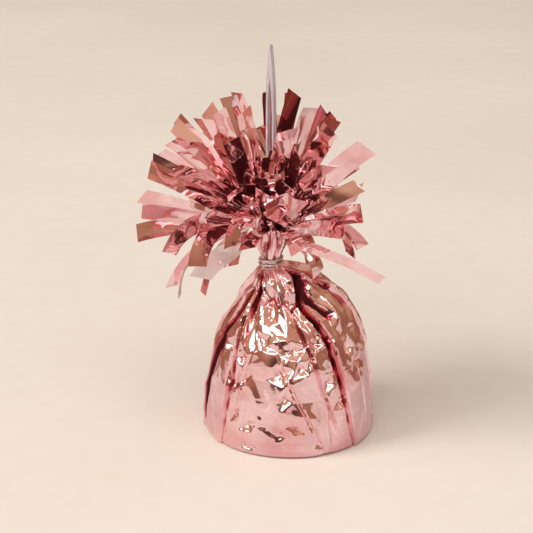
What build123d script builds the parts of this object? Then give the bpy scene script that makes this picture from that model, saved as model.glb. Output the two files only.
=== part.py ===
from build123d import *
import os
from math import cos, degrees, radians, sin, sqrt, tau

# Foil balloon weight: a cement-filled cup wrapped in metallised film, which a wire tie gathers into a
# neck. The slit edge of the film bursts out above the tie as a fringe, round a clear tab for the ribbon.
# Millimetres, +Z up, origin on the table at the middle of the base.

os.makedirs("parts", exist_ok=True)

# Whole object
overall_height = 139.7
overrun = 2.0

# Film wrapper
body_dia = 62.0
neck_height = 63.4
neck_dia = 6.8
neck_shift = 6.5
film = 0.4
tuck_depth = 2.0
tuck_half_width = 1.5
pleats = 16
neck_pleat_depth = 0.3
pleat_twist_angle = 20.0

# Shares of the neck height, of the body radius, of the tuck depth and of the neck shift, from the base up
wrapper_level_shares = (
    (0.000, 0.965, 0.00, 0.00),
    (0.035, 0.998, 0.10, 0.00),
    (0.095, 1.000, 0.25, -0.02),
    (0.240, 0.971, 0.45, -0.06),
    (0.480, 0.874, 0.75, -0.14),
    (0.635, 0.768, 0.95, -0.18),
    (0.755, 0.603, 1.00, -0.09),
    (0.875, 0.387, 0.85, 0.19),
    (0.935, 0.261, 0.45, 0.48),
)

# Tucks in order round the wrapper: azimuths at these shares of the neck height, and a share of the depth
tuck_height_shares = (0.0, 0.35, 0.73, 0.94)
tuck_angles_and_shares = (
    (12, 14, 20, 24, 0.80),
    (44, 40, 35, 44, 0.80),
    (66, 68, 72, 76, 0.70),
    (98, 96, 92, 100, 1.00),
    (120, 122, 126, 130, 0.70),
    (152, 150, 149, 154, 0.80),
    (172, 173, 176, 180, 0.70),
    (189, 191, 200, 206, 1.00),
    (225, 225, 224, 221, 0.70),
    (295, 274, 254, 254, 0.30),
    (308, 296, 276, 275, 0.60),
    (319, 311, 298, 304, 1.15),
    (352, 353, 355, 336, 0.85),
)
tucks_opening_right = 9
tuck_ridge_share = 0.45
tuck_heel_share = 0.1
tuck_spread_share = 0.25
wrapper_turn_angle = -14.0

# Wire tie
wire_dia = 0.9
wire_gap = 0.6
tie_clearance = 0.1
tie_turns = 2
tie_opening_angle = 60.0
tail_length = 6.0
tail_turns = 1
tail_standoff = 2.0
tail_centre_gap = wire_dia + wire_gap
tie_pitch = wire_dia + wire_gap

# Gathered head of film above the tie
head_dia = 15.2
head_rise = 8.2
head_throat_dia = 9.6
head_throat_share = 0.62
head_pleat_depth = 0.3
head_dome_angles = (0, 18, 36, 54, 70)

# Fringe strips
strip_length = 45.0
strip_width = 6.0
strip_root_width = 1.0
strip_film = 0.3
strip_seat = 0.05
strip_flare_share = 0.5
strip_turn_shares = (0.15, 0.55)
strip_section_shares = (0.0, 0.15, 0.35, 0.55, 0.8, 1.0)
strip_slant_angle = 12.0
fringe_turn_angle = -14.0

# Ribbon tab
tab_thickness = 1.0
tab_width = 11.0
tab_tip_width = 1.0
shank_width = 3.0
shank_rise = 26.6
eye_width = 5.6
foot_width = 16.0
foot_height = 5.0
slot_clearance = 0.15

# Shares of the blade's height, from the top of the shank to the tip
blade_flare_share = 0.16
blade_arch_share = 0.50
eye_bottom_share = 0.22
eye_arch_share = 0.26
eye_top_share = 0.77

# Weight
cup_clearance = 0.5
cup_top_share = 0.62
cup_height_share = 0.67
cup_wall = 0.8
cup_rim_width = 1.2
cup_rim_height = 1.0
cup_corner = 3.0
fill_recess = 1.0
fill_shrinkage = 0.1

neck_radius = neck_dia / 2
body_radius = body_dia / 2
head_radius = head_dia / 2
head_centre = Vector(-neck_shift, 0, neck_height + head_rise)
tie_half_height = (tie_turns * tie_pitch + wire_dia) / 2


def pleat_ring(radius, depth, turn, middle_x):
    """Corners of a ring of pleats, a ridge and a valley in turn."""
    corners = []
    for i in range(2 * pleats):
        angle = radians(turn + 180 * i / pleats)
        reach = radius - depth * (i % 2)
        corners.append((middle_x + reach * cos(angle), reach * sin(angle)))
    return corners


def pleat_section(height, radius, depth, turn, middle_x):
    """One level of a pleated form, for a loft."""
    with BuildSketch(Plane.XY.offset(height)) as section:
        with BuildLine():
            Polyline(*pleat_ring(radius, depth, turn, middle_x), close=True)
        make_face()
    return section.sketch


def tuck_ring(radius, depth, azimuths, middle_x):
    """Corners of a ring of tucks: the ridge, valley and heel of each one, and two corners of the panel after it."""
    corners = []
    following = azimuths[1:] + [azimuths[0] + 360]
    leading = [azimuths[-1] - 360] + azimuths[:-1]
    for i, (azimuth, after, before) in enumerate(zip(azimuths, following, leading)):
        tuck = depth * tuck_angles_and_shares[i][-1]
        spread = min(degrees(tuck_half_width / radius), tuck_spread_share * min(after - azimuth, azimuth - before))
        sides = [radius + tuck_ridge_share * tuck, radius - tuck_heel_share * tuck]
        if i >= tucks_opening_right:
            sides.reverse()
        corners.append((azimuth - spread, sides[0]))
        corners.append((azimuth, radius - tuck))
        corners.append((azimuth + spread, sides[1]))
        panel = after - azimuth - 2 * spread
        corners.append((azimuth + spread + panel / 3, radius))
        corners.append((azimuth + spread + 2 * panel / 3, radius))
    turned = [(radians(azimuth + wrapper_turn_angle), reach) for azimuth, reach in corners]
    return [(middle_x + reach * cos(angle), reach * sin(angle)) for angle, reach in turned]


def tuck_section(height, radius, depth, azimuths, middle_x):
    """One level of the wrapper, for a loft."""
    with BuildSketch(Plane.XY.offset(height)) as section:
        with BuildLine():
            Polyline(*tuck_ring(radius, depth, azimuths, middle_x), close=True)
        make_face()
    return section.sketch


def tuck_azimuths(height_share):
    """Where each tuck stands at a share of the neck height."""
    azimuths = []
    for *angles, depth_share in tuck_angles_and_shares:
        azimuth = angles[-1]
        for i in range(len(angles) - 1):
            low, high = tuck_height_shares[i:i + 2]
            if low <= height_share < high:
                azimuth = angles[i] + (angles[i + 1] - angles[i]) * (height_share - low) / (high - low)
        azimuths.append(azimuth)
    return azimuths


# Film wrapper: the film is drawn up round the cup and tucked into the neck, open under the head
throat_start = neck_height - tie_half_height
wrapper_levels = []
for height_share, radius_share, depth_share, shift_share in wrapper_level_shares:
    level = (height_share * neck_height, radius_share * body_radius, depth_share * tuck_depth,
             tuck_azimuths(height_share), -shift_share * neck_shift)
    wrapper_levels.append(level)
tuck_count = len(tuck_angles_and_shares)
throat_azimuths = [tuck_angles_and_shares[0][-2] + 360 * i / tuck_count for i in range(tuck_count)]
throat_radius = neck_radius - tuck_ridge_share * neck_pleat_depth
for throat_height in (throat_start, neck_height):
    wrapper_levels.append((throat_height, throat_radius, neck_pleat_depth, throat_azimuths, -neck_shift))

hollow_levels = []
for height, radius, depth, azimuths, middle_x in wrapper_levels:
    if height == 0:
        inner_height = film
    elif height == neck_height:
        inner_height = neck_height + overrun
    else:
        inner_height = height - film
    hollow_levels.append((inner_height, radius - film, depth, azimuths, middle_x))

with BuildPart() as wrapper:
    loft([tuck_section(*level) for level in wrapper_levels], ruled=True)
    loft([tuck_section(*level) for level in hollow_levels], ruled=True, mode=Mode.SUBTRACT)

# Ribbon tab: a flat clear blade with a pointed arch at its tip, a long eye and an anchor foot
cup_base = film
cup_top = neck_height * cup_height_share
cup_ceiling = cup_top - cup_wall
shank_top = neck_height + shank_rise
blade_height = overall_height - shank_top
blade_start = shank_top + blade_height * blade_flare_share
eye_bottom = shank_top + blade_height * eye_bottom_share
eye_top = shank_top + blade_height * eye_top_share
with BuildPart() as tab:
    with BuildSketch(Plane.YZ.offset(-neck_shift)):
        with BuildLine():
            side = Polyline(
                (0, cup_ceiling - foot_height),
                (foot_width / 2, cup_ceiling - foot_height),
                (foot_width / 2, cup_ceiling),
                (shank_width / 2, cup_ceiling),
                (shank_width / 2, shank_top),
                (tab_width / 2, blade_start),
                (tab_width / 2, overall_height - blade_height * blade_arch_share),
            )
            tip = (tab_tip_width / 2, overall_height - tab_tip_width / 2)
            arch = TangentArc(side @ 1, tip, tangent=(0, 1))
            JernArc(arch @ 1, arch % 1, tab_tip_width, Axis.Y)
            mirror(about=Plane.YZ)
        make_face()
        with BuildLine():
            eye_side = Line(
                (eye_width / 2, eye_bottom + eye_width / 2),
                (eye_width / 2, eye_top - blade_height * eye_arch_share),
            )
            TangentArc(eye_side @ 1, (0, eye_top), tangent=(0, 1))
            TangentArc(eye_side @ 0, (0, eye_bottom), tangent=(0, -1))
            mirror(about=Plane.YZ)
        make_face(mode=Mode.SUBTRACT)
    extrude(amount=tab_thickness / 2, both=True)

# Cup: thin moulded plastic, standing mouth down, with a slit in its top for the tab
rim_radius = wrapper_levels[0][1] - film - cup_clearance
mouth_radius = rim_radius - cup_rim_width
top_radius = body_radius * cup_top_share
with BuildPart() as cup:
    with BuildSketch(Plane.XZ):
        with BuildLine():
            Polyline(
                (0, cup_base),
                (rim_radius, cup_base),
                (rim_radius, cup_base + cup_rim_height),
                (mouth_radius, cup_base + cup_rim_height),
                (top_radius, cup_top),
                (0, cup_top),
                close=True,
            )
        make_face()
    revolve()
    fillet(cup.edges().group_by(Axis.Z)[-1], cup_corner)
    with BuildSketch(Plane.XZ):
        with BuildLine():
            Polyline(
                (0, cup_base - overrun),
                (mouth_radius - cup_wall, cup_base - overrun),
                (mouth_radius - cup_wall, cup_base + cup_rim_height),
                (top_radius - cup_wall, cup_ceiling),
                (0, cup_ceiling),
                close=True,
            )
        make_face()
    revolve(mode=Mode.SUBTRACT)
    with BuildSketch(Plane.XY.offset(cup_ceiling)):
        with Locations((-neck_shift, 0)):
            Rectangle(tab_thickness + 2 * slot_clearance, shank_width + 2 * slot_clearance)
    extrude(amount=cup_wall + overrun, mode=Mode.SUBTRACT)

# Fill: cement cast in the cup round the foot of the tab, a little short of the mouth
fill_base = cup_base + fill_recess
with BuildPart() as fill:
    with BuildSketch(Plane.XZ):
        with BuildLine():
            Polyline(
                (0, fill_base),
                (mouth_radius - cup_wall - fill_shrinkage, fill_base),
                (top_radius - cup_wall - fill_shrinkage, cup_ceiling),
                (0, cup_ceiling),
                close=True,
            )
        make_face()
    revolve()
    add(tab.part, mode=Mode.SUBTRACT)

# Gathered head: the bunched film flares out of the tie into a dome that the strips leave
head_levels = [
    (neck_height, neck_radius, neck_pleat_depth),
    (neck_height + tie_half_height, neck_radius, neck_pleat_depth),
    (neck_height + head_rise * head_throat_share, head_throat_dia / 2, head_pleat_depth),
]
for dome_angle in head_dome_angles:
    dome_height = head_centre.Z + head_radius * sin(radians(dome_angle))
    head_levels.append((dome_height, head_radius * cos(radians(dome_angle)), head_pleat_depth))
with BuildPart() as head:
    loft([pleat_section(*level, pleat_twist_angle, -neck_shift) for level in head_levels], ruled=True)
    with BuildSketch(Plane.XY.offset(neck_height - overrun)):
        with Locations((-neck_shift, 0)):
            Rectangle(tab_thickness + 2 * slot_clearance, shank_width + 2 * slot_clearance)
    extrude(amount=head_rise + head_radius + 2 * overrun, mode=Mode.SUBTRACT)

# Wire tie: two turns round the neck, with the ends twisted together behind
tie_radius = neck_radius + tie_clearance + wire_dia / 2
tail_start = tie_radius + tail_standoff
tie_sweep = 360 * tie_turns - tie_opening_angle


def tie_turn(share):
    """A point and a heading on the winding, from its first to its last quarter turn."""
    angle = radians(90 + tie_opening_angle / 2 + tie_sweep * share)
    climb = tie_pitch * tie_sweep / 360
    point = Vector(tie_radius * cos(angle) - neck_shift, tie_radius * sin(angle),
                   neck_height + climb * (share - 0.5))
    heading = Vector(-sin(angle), cos(angle), climb / (tie_radius * radians(tie_sweep)))
    return point, heading.normalized()


def tail_twist(share, phase, way):
    """A point and a heading on one of the two twisted ends, from the neck outwards."""
    angle = radians(phase) + tau * tail_turns * share
    rate = tau * tail_turns / tail_length * tail_centre_gap / 2
    point = Vector(tail_centre_gap / 2 * cos(angle) - neck_shift, tail_start + tail_length * share,
                   neck_height + tail_centre_gap / 2 * sin(angle))
    heading = Vector(-rate * sin(angle), 1, rate * cos(angle)) * way
    return point, heading.normalized()


def biarc_joint(start, start_heading, end, end_heading):
    """Where two tangent arcs between two headings meet, and the heading there."""
    span = end - start
    headings = start_heading + end_heading
    bend = 2 * (1 - start_heading.dot(end_heading))
    along = span.dot(headings)
    reach = (sqrt(along ** 2 + bend * span.dot(span)) - along) / bend
    first, last = start + start_heading * reach, end - end_heading * reach
    return (first + last) * 0.5, (last - first).normalized()


winding_steps = round(tie_sweep / 90)
tail_steps = 4 * tail_turns
route = [tail_twist(1 - i / tail_steps, 270, -1) for i in range(tail_steps + 1)]
route += [tie_turn(i / winding_steps) for i in range(winding_steps + 1)]
route += [tail_twist(i / tail_steps, 90, 1) for i in range(tail_steps + 1)]
with BuildPart() as tie:
    with BuildLine() as tie_path:
        Line(route[0][0] - route[0][1] * wire_dia, route[0][0])
        for (start, start_heading), (end, end_heading) in zip(route, route[1:]):
            joint, joint_heading = biarc_joint(start, start_heading, end, end_heading)
            TangentArc(start, joint, tangent=start_heading)
            TangentArc(joint, end, tangent=joint_heading)
        Line(route[-1][0], route[-1][0] + route[-1][1] * wire_dia)
    tie_wire = tie_path.wires()[0]
    with BuildSketch(Plane(tie_wire @ 0, z_dir=tie_wire % 0)):
        Circle(wire_dia / 2)
    sweep(path=tie_wire)

# Least gap of the wire to itself, between points that lie further apart along it than four diameters
sample_count = 400
samples = [tie_wire.position_at(i / sample_count) for i in range(sample_count + 1)]
skip = round(4 * wire_dia / tie_wire.length * sample_count)
tie_gap = min((a - b).length for i, a in enumerate(samples) for b in samples[i + skip:]) - wire_dia
print(f"wire tie: {tie_wire.length:.1f} mm long, least gap to itself {tie_gap:.2f} mm")

# Fringe: each strip stands on the head and bows from there to its tip. A row gives the azimuth of the
# strip, the rise of its chord, its bow, the roll of the plane that it bows in, its length and width as
# shares of the sizes above, and how far its face turns on the way to the tip.
fringe_angles_and_shares = {
    "fringe_top": (
        (125, 64, 14, 39, 1.02, 0.80, 63),
        (209, 68, 23, 75, 1.00, 0.80, -24),
        (225, 72, 16, 31, 1.02, 0.85, -6),
        (251, 72, 10, 61, 1.00, 0.80, -22),
        (91, 54, 16, 3, 1.04, 0.80, -33),
        (319, 70, 17, -37, 1.00, 1.00, 25),
        (275, 62, 20, 12, 0.97, 1.00, -22),
        (79, 53, 10, 60, 1.06, 0.60, -30),
        (69, 61, 18, -26, 1.00, 1.00, 40),
        (48, 47, 15, -30, 0.98, 0.80, 35),
        (66, 34, 20, -10, 0.98, 0.90, 20),
        (323, 60, 16, -55, 0.95, 1.00, -11),
        (305, 44, 26, -12, 0.90, 0.80, -27),
    ),
    "fringe_right": (
        (332, 45, 16, -26, 1.00, 1.15, -45),
        (43, 21, 25, -85, 0.95, 0.90, -45),
        (45, 7, 10, -60, 0.92, 1.00, -27),
        (314, 23, 25, -60, 0.84, 1.00, -30),
        (302, 17, 25, -50, 0.86, 0.90, -40),
        (338, -20, 130, 0, 0.72, 0.90, -60),
        (58, -49, 110, -10, 0.98, 0.80, -20),
        (322, -8, 50, 45, 0.96, 0.60, 45),
        (330, -45, 90, 0, 0.40, 0.80, 30),
    ),
    "fringe_left": (
        (133, 50, 8, 8, 1.03, 1.10, -28),
        (145, 41, 15, 61, 1.06, 0.70, 45),
        (155, 44, 10, -30, 1.02, 1.00, -5),
        (209, 49, 30, 44, 1.00, 1.10, 0),
        (150, 27, 20, 75, 1.02, 0.60, 20),
        (141, 20, 25, 60, 0.98, 0.80, 30),
        (199, 33, 20, 60, 0.98, 1.00, 55),
        (159, 10, 12, 75, 1.00, 0.90, 32),
        (208, 19, 19, 77, 0.98, 0.85, 13),
        (200, 6, 35, 50, 0.93, 0.95, 60),
        (226, 0, 80, 30, 1.00, 1.00, 70),
    ),
    "fringe_lower_left": (
        (240, -4, 95, 20, 1.00, 1.15, -45),
        (160, -38, 80, 30, 1.00, 0.60, 30),
        (157, -45, 92, 3, 1.00, 0.40, -3),
        (143, -49, 100, 28, 1.02, 0.40, 10),
        (122, -44, 110, 15, 0.85, 0.85, 10),
        (246, -2, 120, 5, 0.75, 0.80, -30),
        (228, -15, 41, 52, 0.64, 1.10, 73),
    ),
    "fringe_front": (
        (257, 30, 85, 35, 0.92, 1.00, -6),
        (272, 16, 95, -5, 0.75, 1.00, 0),
        (178, 60, 20, 50, 0.95, 1.00, 30),
        (190, 46, 25, 60, 0.95, 1.00, 10),
        (170, 30, 20, 70, 0.95, 0.90, 38),
        (243, 56, 43, 43, 0.95, 1.00, 23),
        (215, 36, 44, 36, 0.95, 1.00, 6),
        (282, 51, 52, -39, 0.95, 1.00, -40),
        (278, 35, 68, -13, 0.90, 1.00, -36),
        (356, 63, 15, -40, 0.90, 1.00, -40),
        (30, 62, 15, -30, 0.92, 1.00, -55),
        (26, 34, 20, -50, 0.80, 1.00, -40),
        (255, 6, 51, -3, 0.60, 0.90, 8),
        (287, 0, 60, -8, 0.55, 0.90, 10),
    ),
    "fringe_back": (
        (151, 70, 9, 15, 0.98, 1.00, -46),
        (112, 49, 20, 20, 0.98, 1.00, -10),
        (124, 33, 25, 40, 0.98, 1.00, -45),
        (104, 30, 30, 20, 0.98, 1.00, -30),
        (90, 41, 25, 10, 0.98, 1.00, 0),
        (74, 22, 30, -20, 0.95, 1.00, 40),
        (72, 6, 45, -15, 0.95, 1.00, 50),
        (96, 9, 45, 10, 0.95, 1.00, -40),
        (116, 11, 40, 15, 0.95, 1.00, -40),
        (132, 0, 39, 34, 0.95, 1.00, 36),
        (56, 0, 35, -30, 0.95, 1.00, -50),
        (90, -26, 70, -10, 0.92, 0.90, -10),
        (72, -32, 70, -15, 0.92, 0.90, -10),
        (26, -22, 80, -20, 0.80, 0.80, -40),
    ),
}


def make_strip(azimuth, rise, bow, roll, length_share, width_share, turn):
    """One strip: a bowed and turned band, narrow where it is gathered and cut a little askew at its tip."""
    heading_angle, tilt = radians(azimuth + fringe_turn_angle), radians(rise)
    chord_way = Vector(cos(tilt) * cos(heading_angle), cos(tilt) * sin(heading_angle), sin(tilt))
    drop_way = Vector(sin(tilt) * cos(heading_angle), sin(tilt) * sin(heading_angle), -cos(tilt))
    side_way = Vector(-sin(heading_angle), cos(heading_angle), 0)
    bow_way = drop_way * cos(radians(roll)) + side_way * sin(radians(roll))
    half_bow = radians(bow) / 2
    start_way = chord_way * cos(half_bow) - bow_way * sin(half_bow)
    sink_way = bow_way * cos(half_bow) + chord_way * sin(half_bow)
    width_way = chord_way.cross(bow_way)
    root = head_centre + start_way * (head_radius + strip_seat)
    bow_radius = strip_length * length_share / radians(bow)
    turn_start, turn_end = strip_turn_shares
    sections = []
    for share in strip_section_shares:
        bend = radians(bow) * share
        middle = root + start_way * bow_radius * sin(bend) + sink_way * bow_radius * (1 - cos(bend))
        heading = start_way * cos(bend) + sink_way * sin(bend)
        swing = radians(turn) * min(max((share - turn_start) / (turn_end - turn_start), 0), 1)
        wide = width_way * cos(swing) + heading.cross(width_way) * sin(swing)
        slant = radians(strip_slant_angle) if share == strip_section_shares[-1] else 0
        flare = min(share / strip_flare_share, 1)
        width = strip_root_width + (strip_width * width_share - strip_root_width) * flare
        plane = Plane(middle, x_dir=wide * cos(slant) - heading * sin(slant),
                      z_dir=heading * cos(slant) + wide * sin(slant))
        with BuildSketch(plane) as section:
            Rectangle(width / cos(slant), strip_film)
        sections.append(section.sketch)
    with BuildPart() as strip:
        loft(sections)
    return strip.part


pieces = {
    "film_wrapper": wrapper,
    "gathered_head": head,
    "wire_tie": tie,
    "ribbon_tab": tab,
    "weight_cup": cup,
    "cement_fill": fill,
}
for name, rows in fringe_angles_and_shares.items():
    strips = [make_strip(*row) for row in rows]
    with BuildPart() as pieces[name]:
        add(strips)

for name, piece in pieces.items():
    piece.part.label = name
    export_step(piece.part, f"parts/{name}.step")
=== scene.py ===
import math

import bpy
import numpy as np
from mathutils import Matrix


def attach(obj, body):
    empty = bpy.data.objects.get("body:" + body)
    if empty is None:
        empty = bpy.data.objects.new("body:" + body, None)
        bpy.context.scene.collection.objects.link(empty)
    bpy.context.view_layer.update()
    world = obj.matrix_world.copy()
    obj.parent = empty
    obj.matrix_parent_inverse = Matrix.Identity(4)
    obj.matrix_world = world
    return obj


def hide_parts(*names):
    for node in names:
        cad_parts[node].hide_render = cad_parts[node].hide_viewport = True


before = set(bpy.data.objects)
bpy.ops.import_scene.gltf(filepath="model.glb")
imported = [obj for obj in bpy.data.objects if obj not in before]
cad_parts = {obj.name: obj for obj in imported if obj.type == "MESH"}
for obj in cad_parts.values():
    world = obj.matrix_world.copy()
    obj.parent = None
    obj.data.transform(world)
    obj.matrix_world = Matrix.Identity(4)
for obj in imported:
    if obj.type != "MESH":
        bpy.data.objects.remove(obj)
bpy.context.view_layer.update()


# Camera: a long lens a little above the table, to the left of the weight's front, looking down at it.
# Sizes in this file are in millimetres, and azimuths in degrees from the viewer's right, unless a
# comment says otherwise.
mm = 0.001
photo_width = 533
focal_pixels = 1500
sensor_width = 36
view_turn = math.radians(-14)
view_pitch = math.radians(20.4)
bpy.ops.object.select_all(action="DESELECT")
bpy.ops.object.camera_add(
    location=(-127.5 * mm, -478.9 * mm, 244.5 * mm),
    rotation=(math.pi / 2 - view_pitch, 0, view_turn),
)
camera = bpy.context.object
camera.data.sensor_width = sensor_width
camera.data.lens = sensor_width * focal_pixels / photo_width
camera.data.clip_start = 0.01
bpy.context.scene.camera = camera


# Film wrapper: one square of rose gold metallised film. The weight stands on its middle, and the film is
# drawn up round it and pleated into the neck by hand. Long tucks run from the neck to the foot. The film
# is crumpled where it goes over the cup's shoulder and nearly smooth below.
class Wire:
    """A socket in a shader, for writing shader maths as sums."""

    def __init__(self, shader, socket):
        self.shader = shader
        self.socket = socket

    def math(self, operation, *values):
        return self.shader.node("ShaderNodeMath", {"operation": operation}, dict(enumerate(values)))

    def __add__(self, other):
        return self.math("ADD", self, other)

    def __radd__(self, other):
        return self.math("ADD", other, self)

    def __sub__(self, other):
        return self.math("SUBTRACT", self, other)

    def __rsub__(self, other):
        return self.math("SUBTRACT", other, self)

    def __mul__(self, other):
        return self.math("MULTIPLY", self, other)

    def __rmul__(self, other):
        return self.math("MULTIPLY", other, self)

    def size(self):
        """This value without its sign."""
        return self.math("ABSOLUTE", self)

    def span(self, low, high):
        """How far this value has come from a low one to a high one, from 0 to 1."""
        inputs = {"Value": self, "From Min": low, "From Max": high}
        return self.shader.node("ShaderNodeMapRange", {"interpolation_type": "SMOOTHSTEP"}, inputs, "Result")


class Shader:
    """The node tree of one finish."""

    def __init__(self, tree):
        self.tree = tree
        self.tree.nodes.clear()

    def node(self, kind, settings=None, inputs=None, output=0):
        """Adds a node, sets it up, fills its sockets and gives back one output."""
        node = self.tree.nodes.new(kind)
        for name, value in (settings or {}).items():
            setattr(node, name, value)
        for name, value in (inputs or {}).items():
            if isinstance(value, Wire):
                self.tree.links.new(value.socket, node.inputs[name])
            else:
                node.inputs[name].default_value = value
        return Wire(self, node.outputs[output]) if node.outputs else None

    def mix(self, factor, first, second):
        """One colour blended into another."""
        return self.node("ShaderNodeMix", {"data_type": "RGBA"}, {0: factor, 6: first, 7: second}, 2)

    def lay_over(self, factor, under, over):
        """One finish laid over a share of another."""
        return self.node("ShaderNodeMixShader", {}, {0: factor, 1: under, 2: over})

    def place(self, kind="Object"):
        return self.node("ShaderNodeTexCoord", output=kind)

    def part(self, vector, axis):
        """One of a vector's X, Y and Z."""
        return self.node("ShaderNodeSeparateXYZ", {}, {"Vector": vector}, axis)

    def reach(self, vector, way):
        """How far a vector goes in one direction."""
        return self.node("ShaderNodeVectorMath", {"operation": "DOT_PRODUCT"}, {0: vector, 1: way}, "Value")

    def attribute(self, name):
        """A share that the mesh keeps at each of its points."""
        return self.node("ShaderNodeAttribute", {"attribute_name": name}, output="Fac")

    def noise(self, place, scale, detail=3.0, roughness=0.5):
        inputs = {"Vector": place, "Scale": scale, "Detail": detail, "Roughness": roughness}
        return self.node("ShaderNodeTexNoise", {}, inputs, "Fac")

    def bump(self, height, strength):
        """Fine relief, too small for the mesh."""
        inputs = {"Strength": strength, "Distance": 0.0004, "Height": height}
        return self.node("ShaderNodeBump", {}, inputs, "Normal")

    def principled(self, **inputs):
        return self.node("ShaderNodeBsdfPrincipled", {}, {k.replace("_", " "): v for k, v in inputs.items()})

    def surface(self, shade):
        self.node("ShaderNodeOutputMaterial", {}, {"Surface": shade})


def new_finish(name):
    material = bpy.data.materials.new(name)
    material.use_nodes = True
    return material, Shader(material.node_tree)


def film_finish():
    """Rose gold film: a bright metal coat with faint scuffs, painted shade from dark red to black in its
    folds and on strips behind others, and pale on its reverse.
    """
    rose, pale_rose = (0.85, 0.54, 0.56, 1), (0.96, 0.74, 0.77, 1)
    painted_shade_red, painted_shade_black = (0.50, 0.09, 0.12, 1), (0.03, 0.004, 0.006, 1)
    dye_red, reverse_white = (0.62, 0.09, 0.10, 1), (0.96, 0.87, 0.84, 1)
    dye_share, reverse_share = 0.08, 0.7
    material, film = new_finish("rose_gold_film")
    place = film.place()
    cloud = film.noise(place, 60, 2)
    scuff = film.noise(place, 900, 4, 0.7).span(0.58, 0.72)
    crinkle = film.noise(place, 260, 2, 0.4)
    fold = film.attribute("painted_shade")
    colour = film.mix(cloud.span(0.35, 0.65), rose, pale_rose)
    # Painted shade: dark red where the mark is middling, black where it is highest
    colour = film.mix(fold.span(0.25, 0.55), colour, painted_shade_red)
    colour = film.mix(fold.span(0.65, 0.85), colour, painted_shade_black)
    relief = film.bump(crinkle, 0.08)
    rough = 0.03 + 0.03 * cloud + 0.05 * scuff
    metal = film.principled(Base_Color=colour, Metallic=1.0, Roughness=rough, Normal=relief)
    dye = film.principled(Base_Color=dye_red, Roughness=0.5)
    bare = film.principled(Base_Color=reverse_white, Roughness=0.2, Normal=relief)
    coated = film.lay_over(dye_share, metal, dye)
    film.surface(film.lay_over(reverse_share * film.attribute("reverse"), coated, bare))
    return material


rose_film = film_finish()


def lay_flat(name, columns, rows):
    """A flat sheet of film, with how far round and how far along it each point lies, from 0 to 1."""
    bpy.ops.object.select_all(action="DESELECT")
    bpy.ops.mesh.primitive_grid_add(x_subdivisions=columns, y_subdivisions=rows, size=1)
    sheet = bpy.context.object
    sheet.name = name
    flat = np.empty(3 * len(sheet.data.vertices))
    sheet.data.vertices.foreach_get("co", flat)
    flat = flat.reshape(-1, 3)
    return sheet, np.round(flat[:, 0] + 0.5, 6), np.round(flat[:, 1] + 0.5, 6)


def draw_up(sheet, points):
    """Moves every point of a sheet to its place, given in millimetres."""
    sheet.data.vertices.foreach_set("co", (points * mm).ravel())
    sheet.data.update()


def mark(sheet, name, share):
    """Keeps a share at each point of a sheet: how much painted shade it gets, or whether the reverse shows.
    """
    marks = sheet.data.attributes.new(name, "FLOAT", "POINT")
    marks.data.foreach_set("value", np.clip(share, 0, 1))


def close_up(sheet, sharp_angle):
    """Joins the sheet just laid where its edges meet, closes its ends, and smooths it up to an angle."""
    bpy.ops.object.mode_set(mode="EDIT")
    bpy.ops.mesh.select_all(action="SELECT")
    bpy.ops.mesh.remove_doubles(threshold=2e-6)
    bpy.ops.mesh.select_all(action="DESELECT")
    bpy.ops.mesh.select_non_manifold()
    bpy.ops.mesh.fill()
    bpy.ops.mesh.select_all(action="SELECT")
    bpy.ops.mesh.normals_make_consistent(inside=False)
    bpy.ops.object.mode_set(mode="OBJECT")
    bpy.ops.object.shade_smooth_by_angle(angle=math.radians(sharp_angle))
    sheet.data.materials.append(rose_film)


net_row_height = 0.866
net_rows = 97


def triangles(across, along):
    """The cell of a net of even triangles that each point lies in, and its place in the cell."""
    row = along / net_row_height
    column = across - 0.5 * row
    i, j = np.floor(column).astype(int), np.floor(row).astype(int)
    return (i, j), (column - i, row - j)


def facets(across, along, repeat, seed):
    """Crumpled film: a height from -1 to 1 over flat triangles, which repeats round the weight."""
    heights = np.random.default_rng(seed).uniform(-1, 1, (repeat, net_rows))
    (i, j), (a, b) = triangles(across, along)

    def corner(p, q):
        return heights[p % repeat, q % net_rows]

    near, right, up, far = corner(i, j), corner(i + 1, j), corner(i, j + 1), corner(i + 1, j + 1)
    lower = near + a * (right - near) + b * (up - near)
    upper = far + (1 - a) * (up - far) + (1 - b) * (right - far)
    return np.where(a + b < 1, lower, upper)


def flats(across, along, round_fall, along_fall):
    """How far flat triangles lie inside a form that falls away this much over a cell round and along."""
    a, b = triangles(across, along)[1]
    lower = a + b < 1
    near = np.where(lower, 1 - a - b, a + b - 1)
    right, up = np.where(lower, a, 1 - a), np.where(lower, b, 1 - b)
    slanted_fall = 0.25 * round_fall + 0.75 * along_fall
    return near * right * round_fall + (near + right) * up * slanted_fall


def smooth_run(points, count):
    """A smooth line through points, divided into even steps."""
    points = np.array(points, float)
    padded = np.vstack([2 * points[0] - points[1], points, 2 * points[-1] - points[-2]])
    steps_between = 40
    t = np.linspace(0, 1, steps_between, endpoint=False)[:, None]
    run = []
    for before, start, end, after in zip(padded, padded[1:], padded[2:], padded[3:]):
        run.append(0.5 * (2 * start + (end - before) * t + (2 * before - 5 * start + 4 * end - after) * t ** 2
                          + (3 * start - before - 3 * end + after) * t ** 3))
    run = np.vstack(run + [points[-1:]])
    steps = np.concatenate([[0], np.cumsum(np.linalg.norm(np.diff(run, axis=0), axis=1))])
    even = np.linspace(0, steps[-1], count)
    return even, np.stack([np.interp(even, steps, run[:, k]) for k in range(run.shape[1])], axis=1)


def follow(values, pairs):
    """Values read off a table of pairs and held at its ends."""
    return np.interp(values, *np.array(pairs).T)


neck_x = -6.5

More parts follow.
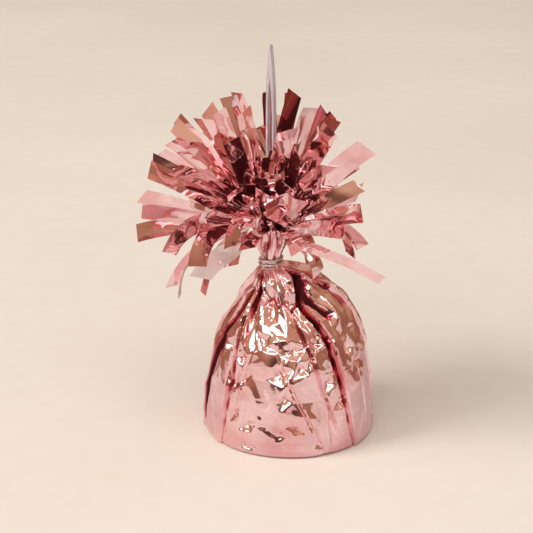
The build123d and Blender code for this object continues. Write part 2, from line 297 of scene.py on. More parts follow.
# The film's side from the middle of the base to the neck: radius, height
wrapper_side = (
    (0, 0.6), (16, 0.5), (28, 0.1), (29.9, 0.15), (30.7, 1.0), (31.0, 2.6), (31.0, 6.0), (30.5, 12.4),
    (29.2, 21.0), (27.1, 29.4), (23.9, 39.1), (19.0, 46.7), (12.4, 54.4), (8.6, 58.6), (5.4, 61.2),
    (3.7, 62.2), (3.3, 63.4),
)

# The outside of the cup: height, radius
cup_side = (
    (0.3, 0), (0.4, 29.0), (1.4, 29.0), (1.5, 27.8), (39.0, 20.0), (41.0, 19.1), (42.0, 17.9),
    (42.5, 16.2), (42.6, 0),
)
film_gap = 0.25

# How far the film's middle moves left, to the leaning neck: height, shift
wrapper_shift = (
    (0, 0), (20, -0.5), (38, -1.2), (46, -1.0), (54.4, 0.8), (58.6, 2.6), (61, 4.8), (62, 6.2),
    (63.4, 6.5),
)

# Tucks in order round the weight, each from the foot up: height, azimuth, depth
tucks = (
    ((0, 12, 0.3), (20, 14, 0.9), (40, 18, 1.6), (54, 22, 1.8), (60, 24, 0.7)),
    ((0, 44, 0.3), (20, 41, 1.0), (40, 36, 1.6), (54, 34, 1.8), (60, 36, 0.7)),
    ((0, 66, 0.2), (20, 68, 0.8), (40, 71, 1.4), (54, 74, 1.6), (60, 76, 0.7)),
    ((0, 98, 0.4), (20, 96, 1.2), (40, 93, 2.0), (54, 90, 2.2), (60, 90, 0.8)),
    ((0, 120, 0.2), (20, 122, 0.8), (40, 124, 1.4), (54, 128, 1.6), (60, 130, 0.7)),
    ((0, 152, 0.3), (20, 150, 1.0), (40, 148, 1.6), (54, 150, 1.8), (60, 152, 0.7)),
    ((0, 172, 0.2), (20, 173, 0.7), (40, 175, 1.4), (54, 178, 1.6), (60, 180, 0.7)),
    ((0, 189, 0.7), (12, 191, 1.5), (26, 192, 2.1), (35, 194, 2.6), (41, 195, 2.8), (46, 200, 3.0),
     (51, 203, 3.0), (55, 205, 1.8), (60, 208, 0.8)),
    ((0, 218, 0.9), (17, 220, 2.0), (28, 221, 2.1), (40, 219, 1.6), (48, 217, 0.8), (60, 211, 0.0)),
    ((0, 233, 0.0), (36, 228, 0.2), (42, 224, 1.4), (46, 221, 2.0), (51, 219, 2.0), (57, 215, 1.2),
     (61, 214, 0.5)),
    ((0, 295, 0.4), (4, 292, 0.6), (15, 282, 0.8), (26, 270, 0.7), (34, 261, 0.5), (42, 255, 0),
     (60, 254, 0)),
    ((0, 308, 0.0), (8, 304, 0.2), (15, 300, 1.0), (29, 291, 1.2), (37, 286, 1.4), (45, 277, 1.2),
     (52, 272, 0.3), (60, 275, 0.3)),
    ((0, 319, 0.8), (8, 315, 1.4), (17, 312, 1.8), (27, 310, 2.3), (34, 306, 2.6), (41, 304, 2.8),
     (46, 298, 3.0), (51, 288, 2.8), (56, 293, 2.0), (60, 306, 0.9)),
    ((0, 352, 0.2), (14, 353, 0.4), (34, 354, 1.1), (45, 355, 1.6), (52, 356, 2.2), (56, 338, 2.2),
     (60, 312, 0.9)),
)

# Tucks past this azimuth open the other way
turned_tucks_from = 240

# A tuck's section: reach from its valley, rise of the film, and how far it laps over
tuck_reach = (-7.0, -1.6, -0.7, 0.2, 1.3, 6.0)
tuck_form = (0, 0.45, 0.6, -1.1, -0.1, 0)
tuck_lap = (0, 0.1, 0.3, 0.1, 0, 0)
# Painted shade across a tuck's section, the tuck depth at which it is full, and how far up from the flat base
# a tuck takes to come in
tuck_shade = ((-0.4, 0), (-0.1, 1), (0.1, 1), (0.3, 0.5), (0.8, 0))
dark_tuck_depth = 2.9
tuck_run_in = 4

# Near the neck the tucks crowd together and get narrower: from this radius, and down to this share
crowding_radius = 14
least_width_share = 0.12

# Dents: azimuth, height, half length, half width, slant, depth
dents = (
    (261, 30, 5.4, 4.2, 20, 1.5), (266, 22, 6.0, 2.6, 70, 1.1), (253, 13, 8.0, 4.0, 130, 1.0),
    (241, 11, 4.6, 2.6, 30, 1.1), (264, 8, 5.4, 4.0, 120, 0.9), (274, 11, 4.6, 2.0, 160, 0.9),
    (299, 26, 4.0, 2.4, 60, 1.0), (306, 18, 3.4, 1.8, 20, 0.8), (289, 5, 4.0, 2.0, 140, 1.0),
    (229, 14, 5.0, 2.4, 60, 1.5), (226, 25, 5.4, 2.8, 80, 1.6), (243, 3, 4.0, 1.8, 10, 0.8),
    (271, 38, 6.0, 3.6, 20, 1.5), (279, 32, 5.4, 3.0, 40, 1.2), (247, 40, 6.0, 3.0, 150, 1.2),
    (291, 40, 4.6, 2.6, 70, 1.1), (330, 30, 5.4, 3.0, 30, 1.0), (335, 40, 5.4, 3.2, 120, 1.1),
    (20, 14, 5.4, 2.6, 60, 1.0), (55, 24, 6.0, 3.0, 120, 1.1), (80, 10, 5.0, 2.4, 40, 1.0),
    (108, 28, 6.0, 3.2, 70, 1.1), (135, 16, 5.4, 2.6, 130, 1.0), (160, 32, 5.4, 3.0, 50, 1.1),
    (183, 18, 5.0, 2.4, 110, 1.0), (212, 36, 5.0, 3.0, 70, 1.4), (228, 34, 5.0, 2.6, 110, 1.3),
    (234, 27, 4.0, 2.4, 40, 1.0), (321, 36, 5.0, 2.8, 80, 1.3), (276, 55, 4.0, 2.6, 20, -0.9),
    (246, 56, 3.6, 2.4, 140, -0.7),
)
dent_strength = 1.35
rumple_cells, rumple_height = 70, 2.4

# Raised pleats and thin creases: height and azimuth from the foot up, half width, rise
creases = (
    (((43, 318), (48, 320), (52, 320), (56, 313), (61, 335)), 3.0, 2.0),
    (((47, 312), (49, 308), (51.5, 299), (54.5, 295), (58, 306), (61, 322)), 2.2, -1.5),
    (((47, 348), (52, 353), (56, 350), (60, 344)), 1.4, -0.9),
    (((48, 226), (52, 224), (57, 217), (61, 214)), 2.2, -0.9),
    (((46, 236), (52, 234), (58, 228)), 2.4, 1.0),
    (((3, 190), (17, 190), (26, 191), (35, 193), (41, 194), (46, 200), (51, 203), (55, 205)), 1.3, -1.3),
    (((5, 232), (16, 229), (30, 234), (38, 238)), 0.7, -0.4),
    (((2, 207), (14, 205), (26, 210)), 0.7, -0.5),
    (((2, 240), (10, 236), (18, 238)), 0.7, -0.4),
    (((6, 333), (20, 331), (34, 328)), 0.7, -0.5),
    (((3, 300), (12, 297), (20, 299)), 0.7, -0.4),
    (((20, 246), (23, 258), (22, 270), (18, 280)), 1.2, 0.25),
)

# Crumples: cells round the film, height of a cell, seed, depth, and their share at each height
crumples = (
    (25, 10.0, 3, 1.1,
     ((0, 0.15), (20, 0.25), (30, 0.55), (38, 0.9), (48, 1), (58, 0.9), (61, 0.3), (63, 0))),
    (47, 5.6, 5, 0.5, ((0, 0.06), (18, 0.12), (27, 0.5), (36, 1), (48, 1), (58, 0.9), (61, 0.3), (63, 0))),
    (92, 3.0, 8, 0.06, ((0, 0.0), (20, 0.04), (30, 0.1), (38, 0.7), (48, 1), (58, 1), (61, 0.4), (63, 0))),
)

# Broad panels: cells round the film, height of a cell, how much they warp, seed, depth
panels = ((9, 26, 0.3, 12, 0.5), (15, 14, 0.4, 14, 0.3))
panel_share = ((0, 0.9), (3, 1), (10, 1), (40, 1), (55, 0.6), (60, 0))

# Flat facets in place of a round form: cells round the film, height of a cell, their share at each height
flat_facets = (
    (25, 10.0, ((30, 0), (40, 0.9), (56, 0.9), (60, 0))),
    (15, 14.0, ((1, 0), (5, 0.7), (30, 0.7), (40, 0))),
)
most_turning = 0.06
least_radius = 3

# The sheet, drawn up round the weight's side, with each point's azimuth moved along with the tucks
wrapper, around, up = lay_flat("film_wrapper_skin", columns=480, rows=200)
run, side = smooth_run(wrapper_side, count=900)
flat_share, flat_reach = 0.06, 27.0
along = follow(up, ((0, 0), (flat_share, flat_reach), (1, run[-1])))
side_only = along > flat_reach
radius, height = np.interp(along, run, side[:, 0]), np.interp(along, run, side[:, 1])
slope = np.gradient(side, run, axis=0)
out_r, out_z = np.interp(along, run, slope[:, 1]), np.interp(along, run, -slope[:, 0])
home = 360 * (around % 1)
home_height = 35
tuck_runs = [np.array(tuck).T for tuck in tucks]


def tucks_at(level):
    """Azimuths of the tucks at a height, over three turns."""
    azimuths = np.array([np.interp(level, tuck_run[0], tuck_run[1]) for tuck_run in tuck_runs])
    return np.concatenate([azimuths - 360, azimuths, azimuths + 360])


seen = np.empty_like(home)
for level in np.unique(up):
    ring = up == level
    seen[ring] = np.interp(home[ring], tucks_at(home_height), tucks_at(height[ring][0]))


def round_from(azimuth):
    """How far round from an azimuth each point of the wrapper lies, in degrees."""
    return (seen - azimuth + 180) % 360 - 180


# Tucks, dents and creases, and painted shade in the tucks and creases
swell = np.zeros_like(seen)
lap = np.zeros_like(seen)
# Painted shade, dark red to black, in deep tucks, sunk creases, neck pleat valleys and under the shelf
fold = np.zeros_like(seen)
for heights, azimuths, depths in tuck_runs:
    tuck_home = np.interp(home_height, heights, azimuths)
    hand = 1 if tuck_home < turned_tucks_from else -1
    gap = hand * round_from(np.interp(height, heights, azimuths))
    deep = np.interp(height, heights, depths, right=0) * np.clip((along - flat_reach) / tuck_run_in, 0, 1)
    width_share = np.clip(radius / crowding_radius, least_width_share, 1)
    reach = np.radians(gap) * radius / width_share / (0.6 + 0.4 * deep)
    swell += deep * np.interp(reach, tuck_reach, tuck_form)
    lap += deep * np.interp(reach, tuck_reach, tuck_lap) * hand
    shade = np.clip(deep / dark_tuck_depth, 0, 1) * follow(reach, tuck_shade)
    fold = np.maximum(fold, shade * (0.85 + 0.3 * np.sin(0.9 * height + tuck_home)))
rumple = 1 + 0.5 * facets(rumple_cells * around, along / rumple_height, rumple_cells, seed=4)
for azimuth, middle, half_length, half_width, slant, depth in dents:
    x, y = np.radians(round_from(azimuth)) * radius, height - middle
    c, s = math.cos(math.radians(slant)), math.sin(math.radians(slant))
    pit = np.clip(1 - abs(x * c + y * s) / half_length - abs(y * c - x * s) / half_width, 0, 1)
    swell -= dent_strength * depth * pit * rumple
for line, half_width, rise in creases:
    heights, azimuths = np.array(line).T
    gap = round_from(np.interp(height, heights, azimuths))
    foot, top = heights[0], heights[-1]
    ends = follow(height, ((foot - 3, 0), (foot + 2, 1), (top - 2, 1), (top + 1, 0)))
    form = ends * np.clip(1 - abs(np.radians(gap)) * radius / half_width, 0, 1)
    swell += rise * form
    # Painted shade in the sunk creases
    fold = np.maximum(fold, -rise * form)

# Crumples, panels and flat facets
angle = np.radians(home)
warp = 0.4 * np.sin(3 * angle + 0.13 * along) + 0.3 * np.sin(7 * angle - 0.21 * along)
for cells, tall, seed, deep, share in crumples:
    fade = follow(height, share) * side_only
    swell += deep * fade * facets(cells * around + warp, along / tall + 0.5 * warp, cells, seed)
for cells, tall, warped, seed, deep in panels:
    fade = follow(height, panel_share) * side_only
    swell += deep * fade * facets(cells * around + warped * warp, along / tall, cells, seed)
turning = np.abs(np.gradient(np.unwrap(np.arctan2(slope[:, 1], slope[:, 0])), run))
turning = np.minimum(np.interp(along, run, turning), most_turning)
for cells, tall, share in flat_facets:
    fade = follow(height, share) * side_only
    round_fall = 0.5 * out_r / np.maximum(radius, least_radius) * (2 * math.pi * radius / cells) ** 2
    along_fall = 0.5 * turning * tall ** 2
    swell -= fade * flats(cells * around + warp, along / tall + 0.5 * warp, round_fall, along_fall)

# Fine pleats at the neck, and the film's shelf and hanging fold under the tie in front
chance = np.random.default_rng(seed=21)
ridge_count = 20
ridges = np.arange(ridge_count) + chance.uniform(-0.38, 0.38, ridge_count)
ridges = np.sort(2 * math.pi * ridges / ridge_count)
ridge_heights = np.where(np.arange(ridge_count) % 2, 1, -1) * chance.uniform(0.4, 1.4, ridge_count)
pleat_deep = follow(height, ((42, 0), (50, 0.25), (55, 0.7), (59, 0.8), (61.5, 0.5), (63.4, 0.3)))
pleat_deep = pleat_deep * follow(seen % 360, ((232, 1.3), (246, 0.25), (284, 0.25), (298, 1.3)))
pleat = pleat_deep * np.interp(angle + 0.012 * (height - 60), ridges, ridge_heights, period=2 * math.pi)
swell += pleat
# Painted shade in the pleats' valleys
fold = np.maximum(fold, -0.8 * pleat)
shelf = follow(round_from(262), ((-30, 0), (-18, 1), (18, 1), (30, 0)))
shelf_rise = follow(seen % 360, (
    (232, 3.4), (240, 1.2), (248, 2.2), (256, -0.4), (263, 1.0), (272, -1.2), (280, 0.4), (290, -0.8),
))
over_shelf = height - shelf_rise
swell += shelf * follow(over_shelf, ((46.0, 0), (49.2, 0.4), (50.4, 0.6), (51.6, -0.7), (54.5, 0)))
# Painted shade in a band under the shelf's lip
fold = np.maximum(fold, 0.6 * shelf * follow(over_shelf, ((50.2, 0), (50.8, 1), (51.6, 1), (52.6, 0))))
hang = follow(seen % 360, ((224, 0), (238, 1), (288, 1), (299, 0)))
swell += hang * follow(height, ((50.5, 0), (52, -0.5), (55, 0.5), (58, 1.5), (60, 1.0), (62, 0)))

# The film in its place, kept outside the cup
shift = follow(height, wrapper_shift)
spread = radius + swell * out_r
angle = np.radians(seen) + view_turn + lap / np.maximum(radius, least_radius)
wrapper_points = np.stack(
    [spread * np.cos(angle) - shift, spread * np.sin(angle), np.maximum(height + swell * out_z, 0)], axis=1
)
reach = np.hypot(wrapper_points[:, 0], wrapper_points[:, 1])
on_cup = follow(wrapper_points[:, 2], cup_side) + film_gap
lifted = np.where(side_only, np.maximum(reach, on_cup) / np.maximum(reach, 1e-6), 1)
wrapper_points[:, :2] *= lifted[:, None]
draw_up(wrapper, wrapper_points)
# The painted shade, kept at each point for the film's finish
mark(wrapper, "painted_shade", fold)
close_up(wrapper, sharp_angle=30)
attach(wrapper, "root")
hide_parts("film_wrapper")


# Gathered head: the same film, bunched tight round the shank of the tab just above the tie, with deep
# flutes that open upwards into the fringe. Its side is given from the tie up, as radius and height.
head_side = (
    (3.3, 63.4), (3.3, 65.2), (3.9, 67.4), (4.9, 70.0), (5.6, 72.6), (5.0, 75.4), (3.2, 77.4), (0, 78.2),
)

# How deep its flutes are: height, depth
flute_depth = ((63.4, 0.2), (66, 0.5), (70, 1.0), (76, 0.9), (78.2, 0))
flute_count = 14
head, around, up = lay_flat("gathered_head_film", columns=168, rows=60)
run, side = smooth_run(head_side, count=300)
along = up * run[-1]
radius, height = np.interp(along, run, side[:, 0]), np.interp(along, run, side[:, 1])
angle = 2 * math.pi * (around % 1)
flute = flute_count * around + 0.35 * np.sin(2 * angle + 0.2 * along) + 0.25 * np.sin(5 * angle)
wave = 4 * abs(flute % 1 - 0.5) - 1
spread = np.maximum(radius + follow(height, flute_depth) * wave, 0)
draw_up(head, np.stack([spread * np.cos(angle) + neck_x, spread * np.sin(angle), height], axis=1))
# Painted shade in the flutes' valleys
mark(head, "painted_shade", -0.9 * wave)
close_up(head, sharp_angle=40)
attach(head, "root")
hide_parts("gathered_head")


# Fringe: the slit edge of the film. Each strip rises folded out of the neck, opens flat and falls
# outwards under its own weight. A row gives a strip's azimuth, rise, bow and roll, its shares of the
# length and the width, and how far its face turns towards the tip.
strip_length = 45.0
strip_width = 6.0
strip_film = 0.06
head_centre = np.array([neck_x, 0, 71.6])
head_reach = 7.6
strip_foot = np.array([neck_x, 0, 65.0])
fringe_rows = {
    "fringe_top": (
        (125, 64, 14, 39, 1.02, 0.8, 63), (209, 68, 23, 75, 1.0, 0.8, -24),
        (225, 72, 16, 31, 1.02, 0.85, -6), (237, 72, 10, 61, 1.0, 0.8, -22),
        (91, 54, 16, 3, 1.04, 0.8, -33), (319, 70, 17, -37, 1.0, 1.0, 25),
        (285, 62, 20, 12, 0.97, 1.0, -22), (79, 53, 10, 60, 1.06, 0.6, -30),
        (69, 61, 18, -26, 1.0, 1.0, 84), (48, 47, 15, -30, 0.98, 0.8, 35),
        (66, 34, 20, -10, 0.98, 0.9, 20), (323, 60, 16, -55, 0.95, 1.0, -11),
        (305, 44, 26, -12, 0.9, 0.8, -27),
    ),
    "fringe_right": (
        (332, 45, 16, -26, 1.0, 1.15, -45), (43, 21, 25, -85, 0.95, 0.9, -25),
        (45, 7, 10, -60, 0.92, 1.0, -27), (314, 23, 25, -60, 0.84, 1.0, -30),
        (302, 17, 25, -50, 0.86, 0.9, -40), (338, -20, 130, 0, 0.72, 0.9, -60),
        (58, -49, 110, -10, 0.98, 0.8, -20), (322, -8, 50, 45, 0.96, 0.6, 45),
        (330, -45, 90, 0, 0.4, 0.8, 30),
    ),
    "fringe_left": (
        (133, 50, 8, 8, 1.03, 1.1, -18), (145, 41, 15, 61, 1.06, 0.7, 45),
        (155, 44, 10, -30, 1.02, 1.0, 8), (209, 49, 30, 44, 1.0, 1.1, 0), (150, 27, 20, 75, 1.02, 0.6, 20),
        (141, 20, 25, 60, 0.98, 0.8, 30), (199, 33, 20, 60, 0.98, 1.0, 55),
        (159, 10, 12, 75, 1.0, 0.9, 15), (208, 19, 19, 77, 0.98, 0.85, 13),
        (200, 6, 35, 50, 0.93, 0.95, 60), (226, 0, 80, 30, 1.0, 1.0, 70),
    ),
    "fringe_lower_left": (
        (240, -4, 95, 20, 1.0, 1.15, -82), (160, -38, 80, 30, 1.0, 0.6, 30),
        (157, -45, 92, 3, 1.0, 0.4, -3), (143, -49, 100, 28, 1.02, 0.4, 10),
        (122, -44, 110, 15, 0.85, 0.85, 10), (246, -2, 120, 5, 0.75, 0.8, -62),
        (228, -15, 41, 52, 0.64, 1.1, 73),
    ),
    "fringe_front": (
        (257, 30, 85, 35, 0.92, 1.0, -6), (272, 16, 95, -5, 0.75, 1.0, 0),
        (178, 60, 20, 50, 0.95, 1.0, 30), (190, 46, 25, 60, 0.95, 1.0, 10),
        (170, 30, 20, 70, 0.95, 0.9, 38), (243, 56, 43, 43, 0.95, 1.0, 23),
        (215, 36, 44, 36, 0.95, 1.0, 6), (282, 51, 52, -39, 0.95, 1.0, -40),
        (278, 35, 68, -13, 0.9, 1.0, -36), (356, 63, 15, -40, 0.9, 1.0, -40),
        (30, 62, 15, -30, 0.92, 1.0, -55), (26, 34, 20, -50, 0.8, 1.0, -40), (255, 6, 51, -3, 0.6, 0.9, 8),
        (287, 0, 60, -8, 0.55, 0.9, 10),
    ),
    "fringe_back": (
        (151, 70, 9, 15, 0.98, 1.0, -46), (112, 49, 20, 20, 0.98, 1.0, -10),
        (124, 33, 25, 40, 0.98, 1.0, -45), (104, 30, 30, 20, 0.98, 1.0, -30),
        (90, 41, 25, 10, 0.98, 1.0, 0), (74, 22, 30, -20, 0.95, 1.0, 40), (72, 6, 45, -15, 0.95, 1.0, 50),
        (96, 9, 45, 10, 0.95, 1.0, -40), (116, 11, 40, 15, 0.95, 1.0, -40),
        (132, 0, 39, 34, 0.95, 1.0, 36), (56, 0, 35, -30, 0.95, 1.0, -50),
        (90, -26, 70, -10, 0.92, 0.9, -10), (72, -32, 70, -15, 0.92, 0.9, -10),
        (26, -22, 80, -20, 0.8, 0.8, -40),
    ),
}

# Shares of a strip's course: where it leaves the neck's bunch, and where on its bow it does so
stations = np.linspace(0, 1, 161)
lead, join = 0.34, 0.26

# Bends and crumples of a strip
bend_count = 12
crumple_cells = 97
crumple_height = 4.0
crumple_seeds = 500


def unit(v):
    return v / np.maximum(np.linalg.norm(v, axis=-1, keepdims=True), 1e-9)


def strip_course(row, chance):
    """A strip's middle line from the neck to its tip, and which way it is broad and which way it faces."""
    azimuth, rise, bow, roll, length_share, _, turned = row
    turn, tilt, roll, bow = math.radians(azimuth) + view_turn, *np.radians((rise, roll, bow))
    chord = np.array([math.cos(tilt) * math.cos(turn), math.cos(tilt) * math.sin(turn), math.sin(tilt)])
    drop = np.array([math.sin(tilt) * math.cos(turn), math.sin(tilt) * math.sin(turn), -math.cos(tilt)])
    side = np.array([-math.sin(turn), math.cos(turn), 0])
    bend = drop * math.cos(roll) + side * math.sin(roll)
    start = chord * math.cos(bow / 2) - bend * math.sin(bow / 2)
    sink = bend * math.cos(bow / 2) + chord * math.sin(bow / 2)
    wide = np.cross(chord, bend)
    sweep = strip_length * length_share / bow
    root = head_centre + start * head_reach

    def arc(t):
        """Points of the bow, at shares of its length."""
        t = np.asarray(t)[..., None]
        return root + sweep * np.sin(bow * t) * start + sweep * (1 - np.cos(bow * t)) * sink

    out = unit(np.array([start[0], start[1], 0.001]))
    foot = strip_foot + out * chance.uniform(1.2, 2.6)
    end = arc(join)
    pull = np.linalg.norm(end - foot)
    first = unit(out * 0.2 + np.array([0, 0, 1])) * pull * 2.8
    last = unit(arc(join + 0.01) - end) * pull
    q = np.clip(stations / lead, 0, 1)[:, None]
    rise_in = ((2 * q ** 3 - 3 * q ** 2 + 1) * foot + (q ** 3 - 2 * q ** 2 + q) * first
               + (3 * q ** 2 - 2 * q ** 3) * end + (q ** 3 - q ** 2) * last)
    fall_out = arc(join + (1 - join) * (stations - lead) / (1 - lead))
    path = np.where(stations[:, None] < lead, rise_in, fall_out)
    heading = unit(np.gradient(path, axis=0))
    around_neck = np.cross(heading, out)
    around_neck = around_neck * np.sign(np.sum(around_neck * wide, axis=1, keepdims=True) + 1e-6)
    settle = np.clip(stations / (lead + 0.15), 0, 1)[:, None]
    settle = settle ** 2 * (3 - 2 * settle)
    broad = around_neck * (1 - settle) + wide * settle
    broad = unit(broad - np.sum(broad * heading, axis=1, keepdims=True) * heading)
    face = np.cross(heading, broad)
    twist = math.radians(turned + chance.uniform(-8, 8)) * np.clip((stations - 0.2) / 0.4, 0, 1)
    c, s = np.cos(twist)[:, None], np.sin(twist)[:, None]
    return path, broad * c + face * s, face * c - broad * s


def lay_strip(row, along, across, seed):
    """Places of a strip's points in millimetres: folded at the neck, open and slightly curled at the tip."""
    chance = np.random.default_rng(seed)
    course = strip_course(row, chance)
    length, half = strip_length * row[4], strip_width * row[5] / 2
    slant = chance.uniform(-0.7, 0.7)
    trim = half * (slant * across - abs(slant)) * np.clip((along - 0.7) / 0.3, 0, 1) / length
    at = np.clip(along + trim, 0, 1)
    path, broad, face = (
        np.stack([np.interp(at, stations, values[:, k]) for k in range(3)], axis=1) for values in course
    )

    wideness = half * follow(at, ((0, 0.45), (0.15, 0.65), (0.36, 1.06), (1, 1.06)))
    fold = chance.choice((-1, 1)) * chance.uniform(0.5, 1.1)
    fold = np.radians(fold * follow(at, ((0, 64), (0.2, 46), (lead + 0.05, 18), (0.62, 6), (1, 0))))
    rise_off = (abs(across) - 0.5) * np.sin(fold) * wideness
    for lean in (chance.uniform(0.3, 1.2), -chance.uniform(0.3, 1.2)):
        bend_places = np.cumsum(chance.uniform(5, 11, bend_count)) - 8
        bends = chance.uniform(-0.5, 0.5, bend_count)
        rise_off += np.interp(at * length + lean * across * half, bend_places, bends)
    crumple = facets(across * 0.9 + 40, at * length / crumple_height, crumple_cells, seed + crumple_seeds)
    rise_off += crumple * follow(at, ((0, 0.14), (0.4, 0.10), (1, 0.03)))
    return path + broad * (across * wideness * np.cos(fold))[:, None] + face * rise_off[:, None]


# Shorter strips that fill the middle, and strips that stand at the stem in front
inner_strips = 44
golden_turn = 137.5
chance = np.random.default_rng(seed=77)
for count in range(inner_strips):
    azimuth = (count * golden_turn) % 360
    front = azimuth > 180
    rise = chance.uniform(30, 80) if front else chance.uniform(20, 70)
    bow, roll = chance.uniform(10, 40), chance.uniform(-50, 50)
    shares = chance.uniform(0.4, 0.75), chance.uniform(0.7, 1.0)
    row = (azimuth, rise, bow, roll, *shares, chance.uniform(-30, 30))
    fringe_rows["fringe_front" if front else "fringe_back"] += (row,)
stem_strips = (
    (266, 58, 10, 5, 0.22, 1.0, 5), (284, 52, 12, -5, 0.24, 1.1, 10), (250, 56, 12, 8, 0.2, 0.9, -12),
    (298, 50, 14, -10, 0.22, 0.9, 20), (240, 48, 70, 20, 0.5, 1.2, 0), (262, 66, 46, 180, 0.42, 1.15, 0),
    (287, 62, 50, 175, 0.45, 1.1, 0), (240, 60, 50, 185, 0.4, 1.0, 0), (305, 56, 45, 178, 0.42, 1.0, 0),
    (274, 74, 40, 180, 0.5, 1.2, 0),
)
fringe_rows["fringe_front"] += stem_strips

# Strips that stand behind others and get painted shade, dark red to black, and the one that shows its reverse
shaded_strips = {"fringe_top": (4, 7, 8, 9), "fringe_front": (10,)}
reversed_strips = {"fringe_lower_left": (6,)}
flat_strip, along, across = lay_flat("flat_strip", columns=44, rows=6)
across = across * 2 - 1
seed = 0
for group, rows in fringe_rows.items():
    strips = []
    for number, row in enumerate(rows):
        seed += 1
        strip = flat_strip.copy()
        strip.data = flat_strip.data.copy()
        bpy.context.collection.objects.link(strip)
        draw_up(strip, lay_strip(row, along, across, seed))
        # Painted shade on the strips behind others, mottled from dark red to black along each
        shade = 0.68 + 0.22 * np.sin(9 * along + 2.5 * across + number)
        mark(strip, "painted_shade", shade * (number in shaded_strips.get(group, ())))
        mark(strip, "reverse", np.full_like(along, float(number in reversed_strips.get(group, ()))))
        strips.append(strip)
    bpy.ops.object.select_all(action="DESELECT")
    for strip in strips:
        strip.select_set(True)
    bpy.context.view_layer.objects.active = strips[0]
    bpy.ops.object.join()
    fringe = bpy.context.object
    fringe.name = group + "_film"
    thick = fringe.modifiers.new("film", "SOLIDIFY")
    thick.thickness = strip_film * mm
    thick.offset = 0
    bpy.ops.object.modifier_apply(modifier="film")
    bpy.ops.object.shade_smooth_by_angle(angle=math.radians(35))
    fringe.data.materials.append(rose_film)
    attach(fringe, "root")
    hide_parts(group)
bpy.data.objects.remove(flat_strip)


# Wire tie: bright soft wire, wound twice round the neck over the film, with its ends twisted together
# behind. The CAD node shows as it is, with the finish of drawn wire.
def wire_finish():
    bright, dull = (0.78, 0.75, 0.73, 1), (0.62, 0.58, 0.56, 1)
    material, wire = new_finish("bright_wire")
    drawn = wire.noise(wire.place(), 700, 3)
    colour = wire.mix(drawn.span(0.3, 0.7), bright, dull)
    wire.surface(wire.principled(Base_Color=colour, Metallic=1.0, Roughness=0.16 + 0.16 * drawn))
    return material


def dress(node_name, material):
    """Gives a CAD node its finish."""
    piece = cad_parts[node_name]
    piece.data.materials.clear()
    piece.data.materials.append(material)


dress("wire_tie", wire_finish())


# Ribbon tab: a blade stamped from clear plastic sheet, with a pointed tip and a long eye for the
# balloon ribbon. Its shank goes down through the neck and is held in the cement by a foot.
def clear_finish():
    """Clear sheet: nearly colourless through its faces, grey where it is seen through a cut edge."""
    clean, hazy, cut_grey = (0.96, 0.91, 0.94, 1), (0.90, 0.84, 0.88, 1), (0.56, 0.50, 0.53, 1)
    material, clear = new_finish("clear_plastic")
    haze = clear.noise(clear.place(), 240, 3)
    edge = 1 - clear.part(clear.place("Normal"), "X").size().span(0.3, 0.8)
    colour = clear.mix(edge, clear.mix(haze.span(0.3, 0.7), clean, hazy), cut_grey)
    rough = 0.08 + 0.06 * haze + 0.1 * edge
    clear.surface(clear.principled(Base_Color=colour, Roughness=rough, Transmission_Weight=0.5, IOR=1.3))
    return material


dress("ribbon_tab", clear_finish())


# Weight: a thin cup moulded from white plastic, with cement cast in it round the foot of the tab. It
# stands mouth down inside the film, which hides it.
def cup_finish():
    white, bright_white = (0.86, 0.86, 0.84, 1), (0.92, 0.92, 0.90, 1)
    material, cup = new_finish("white_cup_plastic")
    grain = cup.noise(cup.place(), 500, 3)
    colour = cup.mix(grain, white, bright_white)
    cup.surface(cup.principled(Base_Color=colour, Roughness=0.42 + 0.16 * grain))
    return material


def cement_finish():
    dark_grey, light_grey = (0.40, 0.39, 0.37, 1), (0.56, 0.55, 0.52, 1)
    material, cement = new_finish("cast_cement")
    place = cement.place()
    sand = cement.noise(place, 800, 5, 0.7)
    colour = cement.mix(cement.noise(place, 70, 3), dark_grey, light_grey)
    rough = 0.8 + 0.15 * sand
    cement.surface(cement.principled(Base_Color=colour, Roughness=rough, Normal=cement.bump(sand, 0.5)))
    return material


dress("weight_cup", cup_finish())
dress("cement_fill", cement_finish())


# Table: a plain pale top that runs out of the picture. In the film's mirror it shows cloudy patches of
# painted shade, and turns brown behind the weight.
cream, pale_cream, speck_brown = (0.80, 0.69, 0.585, 1), (0.84, 0.735, 0.635, 1), (0.72, 0.60, 0.49, 1)
mirrored_shade, mirrored_brown = (0.72, 0.58, 0.53, 1), (0.30, 0.13, 0.075, 1)
view_right = (math.cos(view_turn), math.sin(view_turn), 0)
view_away = (-math.sin(view_turn), math.cos(view_turn), 0)
bpy.ops.object.select_all(action="DESELECT")
bpy.ops.mesh.primitive_plane_add(size=12)
table = bpy.context.object
table.name = "table_top"
cream_table, top = new_finish("cream_table")
place = top.place()
mirrored = top.node("ShaderNodeLightPath", output="Is Glossy Ray")
colour = top.mix(top.noise(place, 5, 4).span(0.3, 0.7), cream, pale_cream)
colour = top.mix(0.12 * top.noise(place, 90, 4).span(0.4, 0.7), colour, speck_brown)
# Painted shade in cloudy patches, seen only in the film's mirror
colour = top.mix(mirrored * top.noise(place, 16, 2).span(0.45, 0.60), colour, mirrored_shade)
beyond = (top.reach(place, view_away) + 0.2 * top.reach(place, view_right).size()).span(0.06, 0.13)
colour = top.mix(mirrored * beyond, colour, mirrored_brown)
top.surface(top.principled(Base_Color=colour, Roughness=0.75))
table.data.materials.append(cream_table)


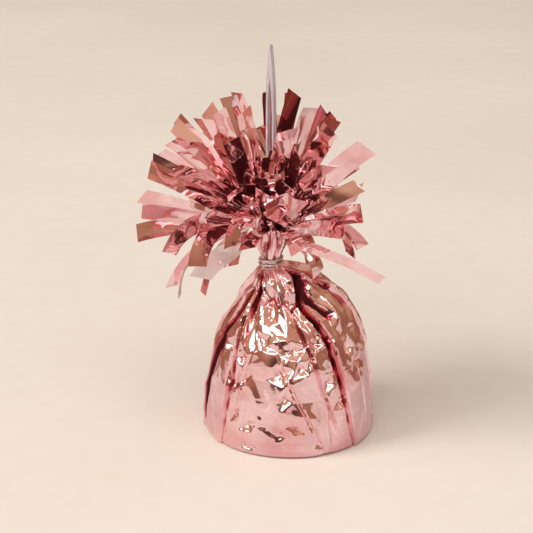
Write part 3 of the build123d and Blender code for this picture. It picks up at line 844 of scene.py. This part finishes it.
# Studio: soft light from all round, soft boxes, and warm brown walls that the film mirrors. On the
# viewer's side they have a dark patch at eye height, over the pale edge of the table.
wall_low, wall_high, dark_patch = (0.33, 0.17, 0.095, 1), (0.70, 0.47, 0.30, 1), (0.07, 0.04, 0.03, 1)
pale_edge, wall_behind = (0.80, 0.69, 0.59, 1), (0.60, 0.42, 0.32, 1)
soft_light, backdrop = (0.44, 0.43, 0.42, 1), (0.83, 0.72, 0.62, 1)
world = bpy.data.worlds.new("studio")
bpy.context.scene.world = world
world.use_nodes = True
studio = Shader(world.node_tree)
ray = studio.place("Generated")
lift = studio.part(ray, "Z")
toward = studio.reach(ray, (math.sin(view_turn), -math.cos(view_turn), 0))
wall = studio.mix(lift.span(0.15, 0.80), wall_low, wall_high)
patch = toward.span(0.80, 0.95) * lift.span(0.12, 0.18) * (1 - lift.span(0.36, 0.48))
wall = studio.mix(patch, wall, dark_patch)
wall = studio.mix(toward.span(0.1, 0.5) * (1 - lift.span(0.12, 0.17)), wall, pale_edge)
wall = studio.mix(toward.span(-1.0, -0.85), wall_behind, wall)
mirrored = studio.node("ShaderNodeLightPath", output="Is Glossy Ray")
straight = studio.node("ShaderNodeLightPath", output="Is Camera Ray")
through = studio.node("ShaderNodeLightPath", output="Is Transmission Ray")
colour = studio.mix(mirrored, soft_light, wall)
colour = studio.mix(straight.math("MAXIMUM", straight, through), colour, backdrop)
light = studio.node("ShaderNodeBackground", {}, {"Color": colour, "Strength": 1.0})
studio.node("ShaderNodeOutputWorld", {}, {"Surface": light})


def soft_box(name, azimuth, elevation, distance, width, tall, bright):
    """A soft box that faces the weight. Its sizes and its distance are in metres."""
    turn, lift = math.radians(azimuth) + view_turn, math.radians(elevation)
    at = (distance * math.cos(lift) * math.cos(turn), distance * math.cos(lift) * math.sin(turn),
          0.05 + distance * math.sin(lift))
    bpy.ops.object.light_add(type="AREA", location=at, rotation=(math.pi / 2 - lift, 0, turn + math.pi / 2))
    lamp = bpy.context.object
    lamp.name = name
    lamp.data.shape = "RECTANGLE"
    lamp.data.size = width
    lamp.data.size_y = tall
    lamp.data.energy = bright * math.pi * width * tall
    return lamp


# Soft boxes: azimuth, elevation, distance, width, height, brightness
soft_box("soft_box_left", 236, 38, 2.2, 2.0, 0.70, 3.0)
soft_box("soft_box_top", 282, 68, 2.0, 0.95, 0.65, 3.0)
soft_box("soft_box_right", 328, 46, 2.2, 0.35, 0.9, 2.4)
side_fill = soft_box("soft_box_side", 195, 42, 4.0, 1.6, 1.6, 11.0)
side_fill.visible_glossy = False

bpy.context.scene.view_settings.view_transform = "Standard"
